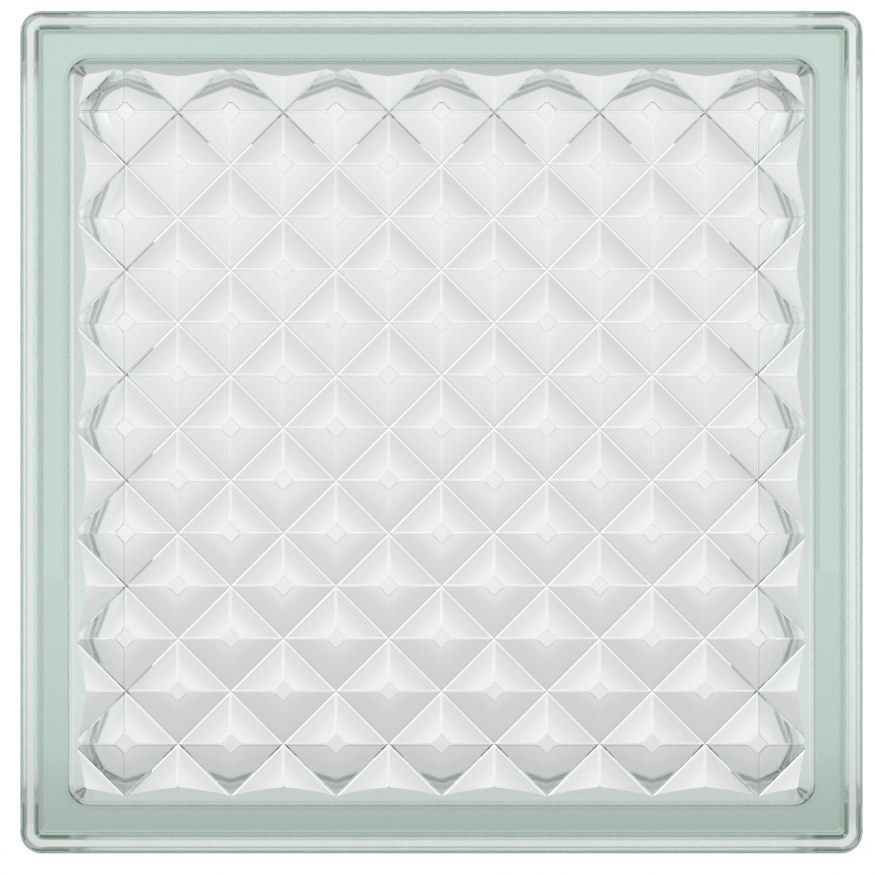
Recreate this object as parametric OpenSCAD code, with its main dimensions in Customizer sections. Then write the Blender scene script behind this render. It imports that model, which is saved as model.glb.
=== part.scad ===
// Hollow glass block for walls and windows: two pressed glass halves, fused
// face to face into one sealed piece. The outer faces are smooth. The inside
// of the front face is pressed with a diamond lattice: sharp ridges with
// hollow flanks cross on the diagonals, and each diamond between them sinks
// to a small flat square. The inside of the back face is plain.
// The block stands on one side, with its faces to the front and the back.

/* [Block] */
// Width and height of the block
block_size = 190; // [120:1:300]
// Depth of the block, from face to face
block_depth = 80; // [60:1:120]
// Radius that rounds the edge of each face
edge_radius = 1.8; // [0.6:0.1:3]

/* [Mortar channel] */
// Depth of the channel round the four sides, below the lips
channel_depth = 4; // [2:0.1:7]
// Radius of the channel's corners; the block's own are larger by its depth
channel_corner = 0.9; // [0.2:0.1:8]
// Width of each lip, from the face to where the channel begins
lip_width = 11; // [6:0.5:20]
// Radius that rounds the lip's edge at the channel
lip_radius = 0.8; // [0.2:0.1:1]
// Radius of the hollow corner where the channel's floor meets the lip
channel_fillet = 1.2; // [0.2:0.1:1.4]
// Width of the bead where the two halves are fused
seam_width = 5; // [2:0.5:10]
// Height of that bead above the channel's floor
seam_height = 0.4; // [0.2:0.1:2]

/* [Hollow] */
// Thickness of the glass behind each face, at its thinnest
face_thickness = 8; // [4:0.5:12]
// Thickness of the side walls at the seam, from the channel to the hollow
wall_thickness = 5; // [3:0.1:12]
// How far each wall leans in from the seam to the pressed face
wall_draft = 1.6; // [0.2:0.1:3]
// Radius of the pressed face's corners; the hollow's are larger by foot and lean
pressed_corner = 0.3; // [0.2:0.1:8]
// Depth of the slanted foot between each wall and the pressed face
foot_depth = 2.9; // [1:0.1:8]
// How far that foot leans in
foot_run = 4.2; // [1:0.1:6]

/* [Lattice] */
// Diamonds in one full row, from wall to wall
diamonds_across = 7; // [3:2:11]
// Diagonal of one diamond, from ridge crossing to ridge crossing
diamond_diagonal = 23.8; // [12:0.1:40]
// Height of the ridges above the flat squares
ridge_height = 1.2; // [0.5:0.1:4]
// Width of the ridges' blunt tops
ridge_top = 0.6; // [0.2:0.1:2]
// How deep each flank of a ridge is hollowed, below a straight slope
slope_hollow = 0.16; // [0.05:0.01:0.4]
// Side of the flat square at the bottom of each diamond
flat_side = 3.6; // [1:0.1:8]
// How far the lattice sits above the middle of the face
lattice_rise = 1; // [-3:0.1:3]

/* [Hidden] */
$fn = 96;
glass_green = [0.72, 0.80, 0.77, 0.6];
// Room by which a cutter overshoots the solid that it cuts
overshoot = 1;

half_size = block_size / 2;
half_depth = block_depth / 2;
corner_radius = channel_corner + channel_depth;
hollow_radius = pressed_corner + foot_run + wall_draft;
channel_half = half_size - channel_depth;
hollow_half = channel_half - wall_thickness;
pressed_face = half_depth - face_thickness;
diamond_side = diamond_diagonal / sqrt(2);
ridge_foot = diamond_side - flat_side;
slope_run = (ridge_foot - ridge_top) / 2;
slope_chord = norm([slope_run, ridge_height]);
// A hollow flank is an arc through both ends of the straight slope.
slope_radius = slope_chord ^ 2 / (8 * slope_hollow) + slope_hollow / 2;
// The lines of ridges lie half a diagonal either side of the middle, and on.
ridge_lines = 2 * diamonds_across;
ridge_length = 2 * sqrt(2) * half_size;

// Sweeps a section round a square with rounded corners. The section's x is
// measured outwards from the corners' centres, and its y is the depth.
// half: half the square's width at the section's greatest x, radius.
// depth: the section's full extent in y.
module around_square(half, radius, depth) {
    reach = half - radius;
    rotate([90, 0, 0]) {
        cube([2 * reach, 2 * reach, depth], center = true);
        for (turn = [0 : 90 : 270])
            rotate(turn) {
                translate([reach, reach, 0])
                    rotate([90, 0, 0])
                        linear_extrude(height = 2 * reach)
                            children();
                translate([reach, reach, 0])
                    rotate_extrude(angle = 90)
                        children();
            }
    }
}

// Section of the block's rim: a lip with rounded edges at each face, and the
// channel between the lips.
module rim_section() {
    flank = half_depth - lip_width;
    difference() {
        translate([0, -half_depth])
            square([corner_radius, block_depth]);
        channel_section(flank);
        for (end = [-1, 1]) {
            outside_corner([corner_radius, end * half_depth], [1, end], edge_radius);
            outside_corner([corner_radius, end * flank], [1, -end], lip_radius);
        }
    }
    seam_section();
}

// Section of the channel, with a hollow corner at each end of its floor.
// flank: distance of its flanks from the middle of the depth.
module channel_section(flank) {
    difference() {
        translate([channel_corner, -flank])
            square([channel_depth + overshoot, 2 * flank]);
        for (end = [-1, 1])
            outside_corner([channel_corner, end * flank], [-1, end], channel_fillet);
    }
}

// What lies outside a rounding of a square corner.
// tip: the corner's point. way: the side of the corner it lies on, in x and y.
module outside_corner(tip, way, radius) {
    centre = tip - radius * way;
    difference() {
        translate(centre)
            scale(way)
                square(radius + overshoot);
        translate(centre)
            circle(radius);
    }
}

// Low trapezoid bead on the channel's floor.
module seam_section() {
    polygon([
        [0, -seam_width / 2],
        [channel_corner, -seam_width / 2],
        [channel_corner + seam_height, -seam_width / 4],
        [channel_corner + seam_height, seam_width / 4],
        [channel_corner, seam_width / 2],
        [0, seam_width / 2],
    ]);
}

// Section of the hollow: widest at the seam, drafted to each pressed face,
// with a slanted foot where the wall meets the face.
module hollow_section() {
    foot_x = pressed_corner + foot_run;
    foot_y = pressed_face - foot_depth;
    polygon([
        [0, -pressed_face],
        [pressed_corner, -pressed_face],
        [foot_x, -foot_y],
        [hollow_radius, 0],
        [foot_x, foot_y],
        [pressed_corner, pressed_face],
        [0, pressed_face],
    ]);
}

// Section of a ridge, standing on y = 0: a blunt top and two hollow flanks.
module ridge_section() {
    slope_middle = [(ridge_foot + ridge_top) / 4, ridge_height / 2];
    slope_normal = [ridge_height, slope_run] / slope_chord;
    difference() {
        polygon([
            [-ridge_foot / 2, -overshoot],
            [-ridge_foot / 2, 0],
            [-ridge_top / 2, ridge_height],
            [ridge_top / 2, ridge_height],
            [ridge_foot / 2, 0],
            [ridge_foot / 2, -overshoot],
        ]);
        for (side = [0, 1])
            mirror([side, 0])
                translate(slope_middle + (slope_radius - slope_hollow) * slope_normal)
                    circle(slope_radius);
    }
}

// One ridge along x, standing on z = 0.
module ridge() {
    rotate([90, 0, 90])
        translate([0, 0, -ridge_length / 2])
            linear_extrude(height = ridge_length)
                ridge_section();
}

// The crossing ridges of one pressed face, standing on z = 0.
module lattice() {
    for (direction = [45, 135])
        rotate(direction)
            for (line = [0 : ridge_lines - 1])
                translate([0, (line - (ridge_lines - 1) / 2) * diamond_side, 0])
                    ridge();
}

module hollow() {
    difference() {
        around_square(hollow_half, hollow_radius, 2 * pressed_face)
            hollow_section();
        translate([0, -pressed_face, lattice_rise])
            rotate([-90, 0, 0])
                lattice();
    }
}

module glass_block() {
    color(glass_green)
        translate([0, 0, half_size])
            difference() {
                around_square(half_size, corner_radius, block_depth)
                    rim_section();
                hollow();
            }
}

glass_block();
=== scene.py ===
"""Hollow glass block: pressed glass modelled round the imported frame, on a pale floor."""

import math

import bmesh
import bpy
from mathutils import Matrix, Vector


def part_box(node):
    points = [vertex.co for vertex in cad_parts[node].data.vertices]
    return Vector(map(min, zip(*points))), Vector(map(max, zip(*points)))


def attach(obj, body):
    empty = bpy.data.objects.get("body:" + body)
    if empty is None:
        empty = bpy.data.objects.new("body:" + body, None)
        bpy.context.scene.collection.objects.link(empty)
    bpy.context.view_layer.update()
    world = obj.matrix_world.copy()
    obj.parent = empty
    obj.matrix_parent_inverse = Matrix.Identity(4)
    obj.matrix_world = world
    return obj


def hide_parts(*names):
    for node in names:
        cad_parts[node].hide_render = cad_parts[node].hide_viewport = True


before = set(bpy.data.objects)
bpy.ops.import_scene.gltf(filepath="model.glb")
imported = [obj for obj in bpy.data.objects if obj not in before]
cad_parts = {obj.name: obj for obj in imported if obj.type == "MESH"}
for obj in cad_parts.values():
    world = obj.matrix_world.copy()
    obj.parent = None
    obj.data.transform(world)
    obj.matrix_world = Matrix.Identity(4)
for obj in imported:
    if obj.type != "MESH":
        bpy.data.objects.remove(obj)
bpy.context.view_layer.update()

MM = 0.001
# Play within which two measures count as the same
SAME = 0.01 * MM
# Play of the cuts across the block, finer than the loops that lie close together
CUT_PLAY = 0.001 * MM
# Vertices closer than this are merged once the lattice is cut into the hollow
MERGE_PLAY = 0.002 * MM

# Sizes of the block, in metres. The outer ones come from the frame.
block_low, block_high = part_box("glass_block")
HALF_SIZE = (block_high.x - block_low.x) / 2
HALF_DEPTH = (block_high.y - block_low.y) / 2
MIDDLE_HEIGHT = (block_low.z + block_high.z) / 2
EDGE_RADIUS = 1.8 * MM
EDGE_SEGMENTS = 6
CORNER_RADIUS = 4.9 * MM
CORNER_SEGMENTS = 10

# Mortar channel round the sides, and the bead where the halves are fused
LIP_WIDTH = 11 * MM
LIP_ROUNDING = 0.8 * MM
LIP_SEGMENTS = 4
CHANNEL_DEPTH = 4 * MM
CHANNEL_FLANK = 0.05 * MM
CHANNEL_FILLET = 1.2 * MM
FILLET_SEGMENTS = 8
BEAD_WIDTH = 5 * MM
BEAD_HEIGHT = 0.4 * MM

# The sealed hollow
FACE_THICKNESS = 8 * MM
WALL_THICKNESS = 5 * MM
WALL_DRAFT = 1.6 * MM
FOOT_DEPTH = 2.9 * MM
FOOT_RUN = 4.2 * MM
FOOT_ROUNDING = 1.6 * MM
FOOT_SEGMENTS = 5
HOLLOW_CORNER = 6.1 * MM
HOLLOW_HALF = HALF_SIZE - CHANNEL_DEPTH - WALL_THICKNESS
PRESSED_FACE = HALF_DEPTH - FACE_THICKNESS

# The lattice pressed into the inside of the front face
DIAMOND_DIAGONAL = 23.8 * MM
DIAMOND_SIDE = DIAMOND_DIAGONAL / math.sqrt(2)
DIAMONDS_EACH_WAY = 15
LATTICE_RISE = 1 * MM
RIDGE_HEIGHT = 1.2 * MM
RIDGE_TOP = 0.7 * MM
RIDGE_ROOF = 0.18 * MM
FLAT_SIDE = 3.6 * MM
SLOPE_RUN = (DIAMOND_SIDE - FLAT_SIDE) / 2
SLOPE_STRAIGHTNESS = 0.45
SLOPE_RINGS = 9
GROOVE_WIDTH = 0.62 * MM
GROOVE_WALL = 0.1 * MM
GROOVE_DEPTH = 0.04 * MM
STAR_RIM = 0.2 * MM
STAR_DEPTH = 0.06 * MM
STAR_REACH = 2.1 * MM
# Depth that the hollow's own front plane leaves below the flats, for grooves and stars
STAR_ROOM = 0.15 * MM
# Depth of the glass behind the ridges' feet, in the block that cuts the lattice
SHEET_DEPTH = 3 * MM

# Round corners of the petals: where the flat meets a diagonal, the outline turns
PETAL_ROUNDING = 1.9 * MM
PETAL_TURN = math.radians(45)
PETAL_TANGENT = PETAL_ROUNDING * math.tan(PETAL_TURN / 2)
ROUNDING_RISE = PETAL_TANGENT * math.sin(PETAL_TURN)
# Rings across that rounding, in shares of its rise
ROUNDING_RINGS = (0.65, 0.36, 0.16, 0.04, 0)

# Shading: edges in the lattice stay crisp past the first angle, all others past the second
CRISP_ANGLE = math.radians(4)
SMOOTH_ANGLE = math.radians(50)
# Least slant towards the front at which a face counts to the lattice
FACING_FRONT = 0.75

# The glass. The channel is matt, and tinted most on its floor.
GLASS_IOR = 1.52
GLASS_COLOUR = (0.16, 0.50, 0.34, 1)
GLASS_DENSITY = 8.5
CLEAR = (1, 1, 1, 1)
FLANK_TINT = (0.96, 1, 0.98, 1)
CHANNEL_TINT = (0.78, 1, 0.89, 1)
MATT_ROUGHNESS = 0.2
WAVE_SCALE = 45.0
WAVE_DETAIL = 1.0
WAVE_HEIGHT = 0.06 * MM

RIGHT_ANGLE = math.pi / 2
LIGHT_COLOUR = (1, 0.975, 0.985, 1)

# The floor's light in the glass is painted: it glows, with a painted shadow of the block that makes it
# dimmer close to the block, by distance in shares of its reach
FLOOR_SIZE = 12
FLOOR_DROP = 0.2 * MM
FLOOR_COLOUR = (0.8, 0.8, 0.8, 1)
FLOOR_REACH = 5
FLOOR_LEVELS_WITH_PAINTED_SHADOW = [(0.02, 0.665), (0.06, 0.7), (0.096, 0.737), (0.16, 0.79),
                (0.2, 0.845), (0.28, 0.875), (0.64, 0.92), (1, 0.93)]
# Painted light strips on the floor, brighter, by their turn from straight behind and by distance
PAINTED_LIGHT_STRIP_TURNS = [(0.115, 0), (0.14, 1), (0.26, 1), (0.3, 0)]
PAINTED_LIGHT_STRIP_DISTANCES = [(0.16, 0), (0.24, 1)]
PAINTED_LIGHT_STRIP_GAIN = 0.25
# To the camera the floor is this white, and this share of it takes no shadow
FLOOR_WHITE = 1.1
FLOOR_GLOW = 0.9

# The light all round, by the angle from the nearest level axis in shares of a right angle
STUDIO_LEVELS = [(0, 0.92), (0.025, 0.985), (0.05, 0.915), (0.089, 0.81), (0.112, 0.77), (0.14, 1.15),
                 (0.24, 1.15), (0.255, 0.88), (0.33, 0.85), (0.38, 0.5), (1, 0.42)]
SIDE_SPREAD = 0.2
LEFT_LEVEL = 1.05
RIGHT_LEVEL = 0.95
BACKDROP_WHITE = 1.04

BOUNCES = 12


def start_editing(piece):
    """Selects one piece alone and opens it in edit mode, with nothing selected in it."""
    bpy.ops.object.select_all(action="DESELECT")
    piece.select_set(True)
    bpy.context.view_layer.objects.active = piece
    bpy.ops.object.mode_set(mode="EDIT")
    bpy.ops.mesh.select_all(action="DESELECT")


def stop_editing():
    bpy.ops.object.mode_set(mode="OBJECT")


def new_piece(name, add_primitive, **settings):
    """Adds a primitive as a piece of its own, opened in edit mode."""
    bpy.ops.object.select_all(action="DESELECT")
    add_primitive(**settings)
    piece = bpy.context.object
    piece.name = name
    start_editing(piece)
    return piece


def select(piece, kind, test):
    """Selects the vertices, edges or faces of the open piece that pass a test."""
    bpy.ops.mesh.select_mode(type=kind)
    bpy.ops.mesh.select_all(action="DESELECT")
    mesh = bmesh.from_edit_mesh(piece.data)
    for part in {"VERT": mesh.verts, "EDGE": mesh.edges, "FACE": mesh.faces}[kind]:
        part.select_set(test(part))
    mesh.select_flush_mode()
    bmesh.update_edit_mesh(piece.data)


def near(a, b):
    return abs(a - b) < SAME


def apply_modifier(piece, kind, **settings):
    """Adds a modifier to a piece, sets it and applies it."""
    bpy.ops.object.select_all(action="DESELECT")
    piece.select_set(True)
    bpy.context.view_layer.objects.active = piece
    modifier = piece.modifiers.new(kind.lower(), kind)
    for name, setting in settings.items():
        setattr(modifier, name, setting)
    bpy.ops.object.modifier_apply(modifier=modifier.name)


def runs_in_depth(edge):
    """Whether an edge runs straight from the front to the back."""
    start, end = (vertex.co for vertex in edge.verts)
    return near(start.x, end.x) and near(start.z, end.z)


def rounded_slab(name, half_size, half_depth, corner_radius):
    """A square slab that faces the front, with its four corners rounded, centred on the block."""
    middle = (0, 0, MIDDLE_HEIGHT)
    slab = new_piece(name, bpy.ops.mesh.primitive_cube_add, size=2, location=middle)
    bpy.ops.mesh.select_all(action="SELECT")
    bpy.ops.transform.resize(value=(half_size, half_depth, half_size), center_override=middle)
    stop_editing()
    bpy.ops.object.transform_apply(location=True)
    start_editing(slab)
    select(slab, "EDGE", runs_in_depth)
    bpy.ops.mesh.bevel(offset=corner_radius, segments=CORNER_SEGMENTS, affect="EDGES")
    return slab


def cut_across(places):
    """Cuts loops across the open piece at these depths, in front of and behind the middle."""
    for place in places:
        for y in {place, -place}:
            bpy.ops.mesh.select_all(action="SELECT")
            bpy.ops.mesh.bisect(plane_co=(0, y, 0), plane_no=(0, 1, 0), threshold=CUT_PLAY)


def move_in(piece, depth, distance):
    """Moves all loops that lie within a depth of the middle towards the slab's axis."""
    select(piece, "VERT", lambda vertex: abs(vertex.co.y) < depth + SAME)
    bpy.ops.transform.shrink_fatten(value=-distance, use_even_offset=True)


def round_loops(piece, depth, width, segments):
    """Rounds the two loops that run round the piece at a depth."""
    select(piece, "EDGE", lambda edge: all(near(abs(vertex.co.y), depth) for vertex in edge.verts))
    bpy.ops.mesh.bevel(offset=width, segments=segments, affect="EDGES")


def outer_body():
    """The block's outside: two smooth faces, a lip round each, and the channel between the lips."""
    lip_end = HALF_DEPTH - LIP_WIDTH
    flank_end = lip_end - CHANNEL_FLANK
    body = rounded_slab("pressed_glass_block", HALF_SIZE, HALF_DEPTH, CORNER_RADIUS)
    cut_across([lip_end, flank_end, BEAD_WIDTH / 2, BEAD_WIDTH / 4])
    move_in(body, flank_end, CHANNEL_DEPTH)
    move_in(body, BEAD_WIDTH / 4, -BEAD_HEIGHT)
    round_loops(body, HALF_DEPTH, EDGE_RADIUS, EDGE_SEGMENTS)
    round_loops(body, lip_end, LIP_ROUNDING, LIP_SEGMENTS)
    round_loops(body, flank_end, CHANNEL_FILLET, FILLET_SEGMENTS)
    stop_editing()
    return body


def hollow_form():
    """The space inside, as a closed form: widest at the seam, with a slanted foot at each face."""
    foot = PRESSED_FACE - FOOT_DEPTH
    deepest = PRESSED_FACE + STAR_ROOM
    run = FOOT_RUN * (deepest - foot) / FOOT_DEPTH
    spare = 4 * MM
    form = rounded_slab("hollow", HOLLOW_HALF, PRESSED_FACE + spare, HOLLOW_CORNER)
    cut_across([0, foot, deepest])
    for depth, distance in ((deepest, WALL_DRAFT + run), (foot, -run), (0, -WALL_DRAFT)):
        move_in(form, depth, distance)
    for side, end in ((-1, deepest), (1, PRESSED_FACE)):
        bpy.ops.mesh.select_all(action="SELECT")
        bpy.ops.mesh.bisect(plane_co=(0, side * end, 0), plane_no=(0, side, 0), threshold=CUT_PLAY,
                            clear_outer=True, use_fill=True)
    round_loops(form, foot, FOOT_ROUNDING, FOOT_SEGMENTS)
    stop_editing()
    return form


def slope_height(distance):
    """Height of a ridge's hollow flank at a distance from the ridge's middle line."""
    share = max(0, (SLOPE_RUN - distance) / (SLOPE_RUN - RIDGE_TOP / 2))
    return RIDGE_HEIGHT * (SLOPE_STRAIGHTNESS * share + (1 - SLOPE_STRAIGHTNESS) * share ** 2)


def ridge_height(distance):
    """Height of a ridge with its top, which is a low, steeper roof."""
    across = distance / (RIDGE_TOP / 2)
    if across < 1:
        return RIDGE_HEIGHT + RIDGE_ROOF * (1 - across)
    return slope_height(distance)


def ring_distances():
    """Distances from the ridge's middle line at which a diamond has a ring of edges."""
    top = RIDGE_TOP / 2
    rounding_starts = SLOPE_RUN - ROUNDING_RISE
    slope = [top + (rounding_starts - top) * ring / SLOPE_RINGS for ring in range(SLOPE_RINGS + 1)]
    rounding = [SLOPE_RUN - (SLOPE_RUN - rounding_starts) * share for share in ROUNDING_RINGS]
    return [0] + slope + rounding


def petal_corner_shift(rise):
    """How far a petal's edge lies in from its sharp corner, at a distance above the flat square."""
    if rise > ROUNDING_RISE:
        return 0
    return PETAL_TANGENT + rise - math.sqrt(2 * PETAL_ROUNDING * rise - rise ** 2)


def between_petals(edge):
    """Whether an edge of a diamond runs along one of its diagonals, inside the ridges' tops."""
    start, end = (vertex.co for vertex in edge.verts)
    on_diagonal = near(abs(start.x), abs(start.y)) and near(abs(end.x), abs(end.y))
    inside_top = DIAMOND_SIDE / 2 - RIDGE_TOP / 4
    return on_diagonal and not near(abs(start.x), abs(end.x)) and max(abs(start.x), abs(end.x)) < inside_top


def in_groove(face):
    """Whether a face of a diamond lies on its flat square or on one of its diagonals."""
    middle = face.calc_center_median()
    on_diagonal = near(abs(middle.x), abs(middle.y))
    return on_diagonal and abs(middle.x) < DIAMOND_SIDE / 2 - RIDGE_TOP / 2


def from_middle(face):
    """Distance of a face of a diamond from the diamond's middle."""
    return face.calc_center_median().xy.length


def round_petal_corners(diamond):
    """Moves the ends of the lowest rings, so that each petal's corners by the flat square are round."""
    mesh = bmesh.from_edit_mesh(diamond.data)
    for vertex in mesh.verts:
        far, close = sorted((0, 1), key=lambda axis: -abs(vertex.co[axis]))
        rise = SLOPE_RUN - (DIAMOND_SIDE / 2 - abs(vertex.co[far]))
        shift = petal_corner_shift(max(0, rise))
        vertex.co[close] -= math.copysign(shift, vertex.co[close])
    bmesh.update_edit_mesh(diamond.data)


def pressed_diamond():
    """One diamond, inset ring by ring from its ridges down to its flat square.

    Four petals slope down to the flat. Grooves part them along the diamond's diagonals,
    and a shallow star is sunk where the grooves meet.
    """
    diamond = new_piece("lattice", bpy.ops.mesh.primitive_plane_add, size=DIAMOND_SIDE)
    bpy.ops.mesh.select_all(action="SELECT")
    bpy.ops.transform.translate(value=(0, 0, ridge_height(0)))
    rings = ring_distances()
    for outer, inner in zip(rings, rings[1:]):
        bpy.ops.mesh.inset(thickness=inner - outer, use_even_offset=True)
        bpy.ops.transform.translate(value=(0, 0, ridge_height(inner) - ridge_height(outer)))
    select(diamond, "EDGE", between_petals)
    bpy.ops.mesh.bevel(offset=GROOVE_WIDTH / 2, segments=1, affect="EDGES")
    round_petal_corners(diamond)
    select(diamond, "FACE", in_groove)
    bpy.ops.mesh.inset(thickness=GROOVE_WALL, depth=-GROOVE_DEPTH)
    select(diamond, "FACE", lambda face: in_groove(face) and from_middle(face) < STAR_REACH)
    bpy.ops.mesh.dissolve_faces()
    select(diamond, "FACE", lambda face: from_middle(face) < GROOVE_WALL / 2)
    bpy.ops.mesh.inset(thickness=STAR_RIM, depth=-STAR_DEPTH)
    stop_editing()
    return diamond


def diamond_sheet():
    """Diamonds side by side, turned on their corners, as a sheet on the front face's inside."""
    sheet = pressed_diamond()
    for direction in ((DIAMOND_SIDE, 0, 0), (0, DIAMOND_SIDE, 0)):
        apply_modifier(sheet, "ARRAY", count=DIAMONDS_EACH_WAY, use_relative_offset=False,
                       use_constant_offset=True, constant_offset_displace=direction,
                       use_merge_vertices=True, merge_threshold=SAME)
    reach = (DIAMONDS_EACH_WAY - 1) / 2 * DIAMOND_SIDE
    start_editing(sheet)
    bpy.ops.mesh.select_all(action="SELECT")
    bpy.ops.transform.translate(value=(-reach, -reach, 0))
    stop_editing()
    sheet.rotation_euler = (0, 0, math.radians(45))
    bpy.ops.object.transform_apply(rotation=True)
    sheet.rotation_euler = (math.radians(-90), 0, 0)
    sheet.location = (0, -PRESSED_FACE, MIDDLE_HEIGHT + LATTICE_RISE)
    bpy.ops.object.transform_apply(location=True, rotation=True)
    return sheet


def lattice_block():
    """The crossing ridges as a closed block that reaches to the hollow's widest place."""
    lattice = diamond_sheet()
    start_editing(lattice)
    for side in (-1, 1):
        for direction in ((1, 0, 0), (0, 0, 1)):
            normal = [side * part for part in direction]
            place = [HOLLOW_HALF * part for part in normal]
            place[2] += MIDDLE_HEIGHT
            bpy.ops.mesh.select_all(action="SELECT")
            bpy.ops.mesh.bisect(plane_co=place, plane_no=normal, clear_outer=True)
    bpy.ops.mesh.select_mode(type="EDGE")
    bpy.ops.mesh.select_all(action="DESELECT")
    bpy.ops.mesh.select_non_manifold(use_wire=False, use_multi_face=False, use_non_contiguous=False,
                                     use_verts=False)
    back = -PRESSED_FACE - SHEET_DEPTH
    bpy.ops.mesh.extrude_region_move(TRANSFORM_OT_translate={"value": (0, -SHEET_DEPTH, 0)})
    bpy.ops.transform.resize(value=(1, 0, 1), center_override=(0, back, MIDDLE_HEIGHT))
    bpy.ops.mesh.edge_face_add()
    bpy.ops.mesh.select_all(action="SELECT")
    bpy.ops.mesh.normals_make_consistent(inside=False)
    stop_editing()
    return lattice


def crisp_in_lattice(edge):
    """Whether an edge of the hollow parts two faces of the lattice at more than a slight angle."""
    if len(edge.link_faces) != 2:
        return False
    in_lattice = all(abs(face.normal.y) > FACING_FRONT for face in edge.link_faces)
    return in_lattice and edge.calc_face_angle() > CRISP_ANGLE


def sharpen_lattice(hollow):
    """Keeps the edges of the petals, grooves, flats and ridges crisp, and the slopes smooth."""
    start_editing(hollow)
    select(hollow, "EDGE", crisp_in_lattice)
    bpy.ops.mesh.mark_sharp()
    stop_editing()


def pressed_block():
    """The whole block: its outside, and the hollow with the lattice pressed into it."""
    hollow = hollow_form()
    lattice = lattice_block()
    apply_modifier(hollow, "BOOLEAN", operation="DIFFERENCE", object=lattice, solver="EXACT")
    bpy.data.objects.remove(lattice)
    start_editing(hollow)
    bpy.ops.mesh.select_all(action="SELECT")
    bpy.ops.mesh.remove_doubles(threshold=MERGE_PLAY)
    bpy.ops.mesh.flip_normals()
    stop_editing()
    bpy.ops.object.shade_smooth_by_angle(angle=SMOOTH_ANGLE)
    sharpen_lattice(hollow)
    block = outer_body()
    bpy.ops.object.shade_smooth_by_angle(angle=SMOOTH_ANGLE)
    bpy.ops.object.select_all(action="DESELECT")
    hollow.select_set(True)
    block.select_set(True)
    bpy.context.view_layer.objects.active = block
    bpy.ops.object.join()
    apply_modifier(block, "WEIGHTED_NORMAL", keep_sharp=True)
    return block


class Value:
    """A number or colour in a node tree. Arithmetic on it adds Math nodes."""

    def __init__(self, nodes, socket):
        self.nodes = nodes
        self.socket = socket

    def work_out(self, operation, first, second):
        return self.nodes.add("Math", {"operation": operation}, {0: first, 1: second})["Value"]

    def __add__(self, other):
        return self.work_out("ADD", self, other)

    def __radd__(self, other):
        return self.work_out("ADD", other, self)

    def __sub__(self, other):
        return self.work_out("SUBTRACT", self, other)

    def __rsub__(self, other):
        return self.work_out("SUBTRACT", other, self)

    def __mul__(self, other):
        return self.work_out("MULTIPLY", self, other)

    def __rmul__(self, other):
        return self.work_out("MULTIPLY", other, self)

    def __abs__(self):
        return self.work_out("ABSOLUTE", self, 0.0)

    def __gt__(self, other):
        return self.work_out("GREATER_THAN", self, other)

    def __lt__(self, other):
        return self.work_out("LESS_THAN", self, other)

    def larger(self, other):
        return self.work_out("MAXIMUM", self, other)


class Nodes:
    """The nodes of one material or of the world."""

    def __init__(self, owner):
        owner.use_nodes = True
        self.tree = owner.node_tree
        self.tree.nodes.clear()

    def add(self, kind, settings, sockets):
        """Adds a node, sets it, fills or links its sockets, and returns its outputs by name."""
        node = self.tree.nodes.new("ShaderNode" + kind)
        for name, setting in settings.items():
            if name == "stops":
                self.set_stops(node.color_ramp, setting)
            else:
                setattr(node, name, setting)
        for name, given in sockets.items():
            if isinstance(given, Value):
                self.tree.links.new(given.socket, node.inputs[name])
            else:
                node.inputs[name].default_value = given
        return {output.name: Value(self, output) for output in node.outputs if output.enabled}

    @staticmethod
    def set_stops(ramp, stops):
        """Sets a ramp's stops from pairs of a place and a grey level."""
        while len(ramp.elements) < len(stops):
            ramp.elements.new(1.0)
        for element, (place, level) in zip(ramp.elements, stops):
            element.position = place
            element.color = (level, level, level, 1)

    def ramp(self, stops, place):
        """Grey level at a place on a ramp of stops."""
        return self.add("ValToRGB", {"stops": stops}, {"Fac": place})["Color"]

    def tinted(self, colour, tint, mask):
        """A colour that gives way to a tint where a mask is 1."""
        return self.add("Mix", {"data_type": "RGBA"}, {0: mask, 6: colour, 7: tint})["Result"]


def pressed_glass():
    """Clear glass with a faint green tint, fire-polished and a little wavy.

    The mortar channel's sides are matt and tinted.
    """
    material = bpy.data.materials.new("pressed_glass")
    nodes = Nodes(material)
    place = nodes.add("TexCoord", {}, {})["Object"]
    part = nodes.add("SeparateXYZ", {}, {0: place})
    sideways = abs(part["X"]).larger(abs(part["Z"] - MIDDLE_HEIGHT))
    below_floor = HALF_SIZE - CHANNEL_DEPTH - 1 * MM
    above_bead = HALF_SIZE - CHANNEL_DEPTH + BEAD_HEIGHT + 0.2 * MM
    below_lip = HALF_SIZE - 0.3 * MM
    flank = HALF_DEPTH - LIP_WIDTH + 0.5 * MM
    in_channel = (sideways > below_floor) * (sideways < below_lip) * (abs(part["Y"]) < flank)
    on_floor = (sideways < above_bead) * in_channel
    colour = nodes.tinted(nodes.tinted(CLEAR, FLANK_TINT, in_channel), CHANNEL_TINT, on_floor)
    waves = nodes.add("TexNoise", {}, {"Vector": place, "Scale": WAVE_SCALE, "Detail": WAVE_DETAIL})["Fac"]
    wavy = nodes.add("Bump", {}, {"Strength": 1.0, "Distance": WAVE_HEIGHT, "Height": waves})["Normal"]
    surface = nodes.add("BsdfPrincipled", {}, {
        "Base Color": colour,
        "Transmission Weight": 1.0,
        "IOR": GLASS_IOR,
        "Roughness": MATT_ROUGHNESS * in_channel,
        "Normal": wavy,
    })["BSDF"]
    depth = nodes.add("VolumeAbsorption", {}, {"Color": GLASS_COLOUR, "Density": GLASS_DENSITY})["Volume"]
    nodes.add("OutputMaterial", {}, {"Surface": surface, "Volume": depth})
    return material


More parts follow.
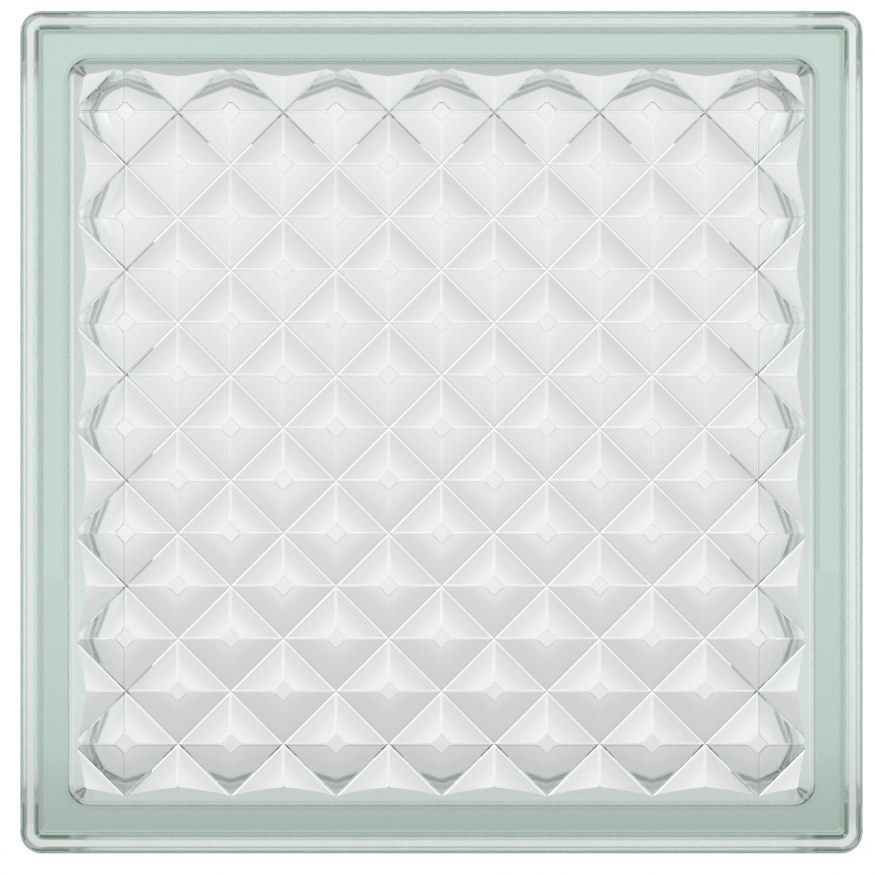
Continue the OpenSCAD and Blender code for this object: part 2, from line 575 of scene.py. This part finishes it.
def pale_floor():
    """A plain floor, white to the camera, that keeps a soft shadow.

    Seen through the glass it glows with painted light: a painted shadow makes it dimmer close to the block,
    and painted light strips make it brighter far off.
    """
    bpy.ops.object.select_all(action="DESELECT")
    bpy.ops.mesh.primitive_plane_add(size=FLOOR_SIZE, location=(0, 0, -FLOOR_DROP))
    floor = bpy.context.object
    floor.name = "floor"
    material = bpy.data.materials.new("pale_floor")
    nodes = Nodes(material)
    place = nodes.add("TexCoord", {}, {})["Object"]
    part = nodes.add("SeparateXYZ", {}, {0: place})
    distance = nodes.add("VectorMath", {"operation": "LENGTH"}, {0: place})["Value"] * (1 / FLOOR_REACH)
    turn = nodes.add("Math", {"operation": "ARCTAN2"}, {0: abs(part["X"]), 1: abs(part["Y"])})["Value"]
    # Painted light: brighter strips on the floor far off to each side, seen in the glass
    in_painted_light_strip = nodes.ramp(PAINTED_LIGHT_STRIP_TURNS, turn * (1 / RIGHT_ANGLE)) * nodes.ramp(PAINTED_LIGHT_STRIP_DISTANCES, distance)
    # Painted shadow: the floor's glow in the glass is dimmer close to the block
    level = nodes.ramp(FLOOR_LEVELS_WITH_PAINTED_SHADOW, distance)
    level = level + level * in_painted_light_strip * PAINTED_LIGHT_STRIP_GAIN
    ray = nodes.add("LightPath", {}, {})
    through_glass = ray["Is Transmission Ray"].larger(ray["Is Glossy Ray"])
    glow = (ray["Is Camera Ray"] * FLOOR_GLOW).larger(through_glass)
    strength = level + ray["Is Camera Ray"] * (FLOOR_WHITE - level)
    matt = nodes.add("BsdfDiffuse", {}, {"Color": FLOOR_COLOUR})["BSDF"]
    white = nodes.add("Emission", {}, {"Color": LIGHT_COLOUR, "Strength": strength})["Emission"]
    surface = nodes.add("MixShader", {}, {0: glow, 1: matt, 2: white})["Shader"]
    nodes.add("OutputMaterial", {}, {"Surface": surface})
    floor.data.materials.append(material)


def studio_world():
    """Soft light all round, white to the camera and a little stronger on the left.

    Its level goes by the angle from the nearest level axis of the block. Ridges and grooves
    catch the bright ring round each axis, and the hollow's roundings look past it.
    """
    world = bpy.data.worlds.new("studio")
    bpy.context.scene.world = world
    nodes = Nodes(world)
    direction = nodes.add("TexCoord", {}, {})["Generated"]
    part = nodes.add("SeparateXYZ", {}, {0: direction})
    straight = abs(part["X"]).larger(abs(part["Y"]))
    angle = nodes.add("Math", {"operation": "ARCCOSINE"}, {0: straight})["Value"]
    from_left = nodes.add("MapRange", {}, {
        "Value": part["X"],
        "From Min": -SIDE_SPREAD,
        "From Max": SIDE_SPREAD,
        "To Min": LEFT_LEVEL,
        "To Max": RIGHT_LEVEL,
    })["Result"]
    level = nodes.ramp(STUDIO_LEVELS, angle * (1 / RIGHT_ANGLE)) * from_left
    ray = nodes.add("LightPath", {}, {})
    strength = level + ray["Is Camera Ray"] * (BACKDROP_WHITE - level)
    light = nodes.add("Background", {}, {"Color": LIGHT_COLOUR, "Strength": strength})["Background"]
    nodes.add("OutputWorld", {}, {"Surface": light})


def front_camera():
    """Looks straight at the front face, framed as in the photograph."""
    image_width = 875
    block_width_in_pixels = 843
    distance = 3.0
    right_of_middle = 4 / image_width
    above_middle = 5.3 / image_width
    data = bpy.data.cameras.new("camera")
    camera = bpy.data.objects.new("camera", data)
    bpy.context.scene.collection.objects.link(camera)
    camera.location = (0, -HALF_DEPTH - distance, MIDDLE_HEIGHT)
    camera.rotation_euler = (math.radians(90), 0, 0)
    frame_width = 2 * HALF_SIZE * image_width / block_width_in_pixels
    data.sensor_width = 36
    data.lens = data.sensor_width * distance / frame_width
    data.shift_x = -right_of_middle
    data.shift_y = -above_middle
    bpy.context.scene.camera = camera


block = pressed_block()
block.data.materials.clear()
block.data.materials.append(pressed_glass())
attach(block, "root")
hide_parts("glass_block")

pale_floor()
studio_world()
front_camera()

scene = bpy.context.scene
scene.view_settings.view_transform = "Standard"
scene.cycles.max_bounces = BOUNCES
scene.cycles.glossy_bounces = BOUNCES
scene.cycles.transmission_bounces = BOUNCES
